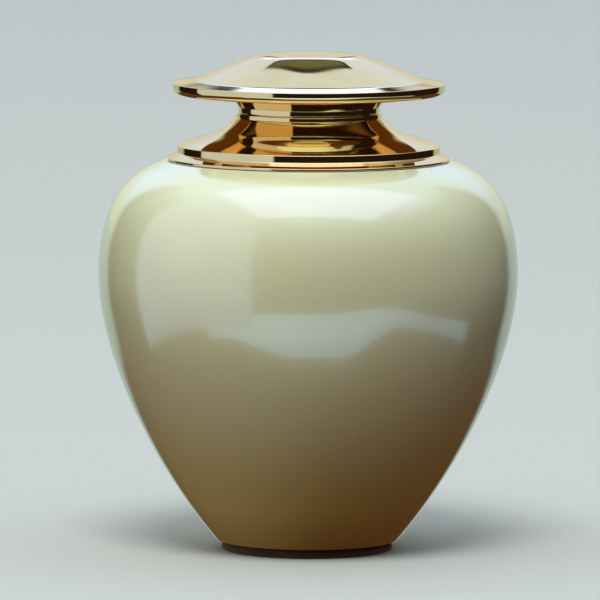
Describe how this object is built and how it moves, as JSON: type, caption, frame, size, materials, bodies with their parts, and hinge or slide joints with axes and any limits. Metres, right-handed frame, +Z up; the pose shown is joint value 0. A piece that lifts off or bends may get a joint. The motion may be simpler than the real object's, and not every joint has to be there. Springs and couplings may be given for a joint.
{
  "type": "cremation urn",
  "caption": "Round hollow urn with broad shoulders tapering to a small foot, a flared polished neck flange and a domed lift-off lid.",
  "frame": {"origin": "centre of the foot pad's underside, on the urn's axis, where it meets the surface it stands on", "axes": "+Z up along the urn's axis, towards the lid; the urn is round, so +X and +Y are free, and -Y is the side that the picture shows"},
  "size_m": [0.192, 0.192, 0.2271],
  "materials": {
    "pearl_lacquer": "gloss pearl lacquer",
    "polished_brass": "mirror polished",
    "brown_felt": "matt felt"
  },
  "bodies": {
    "root": {"body": "pearl_lacquer", "collar": "polished_brass", "lid": "polished_brass", "foot_pad": "brown_felt"}
  },
  "joints": []
}
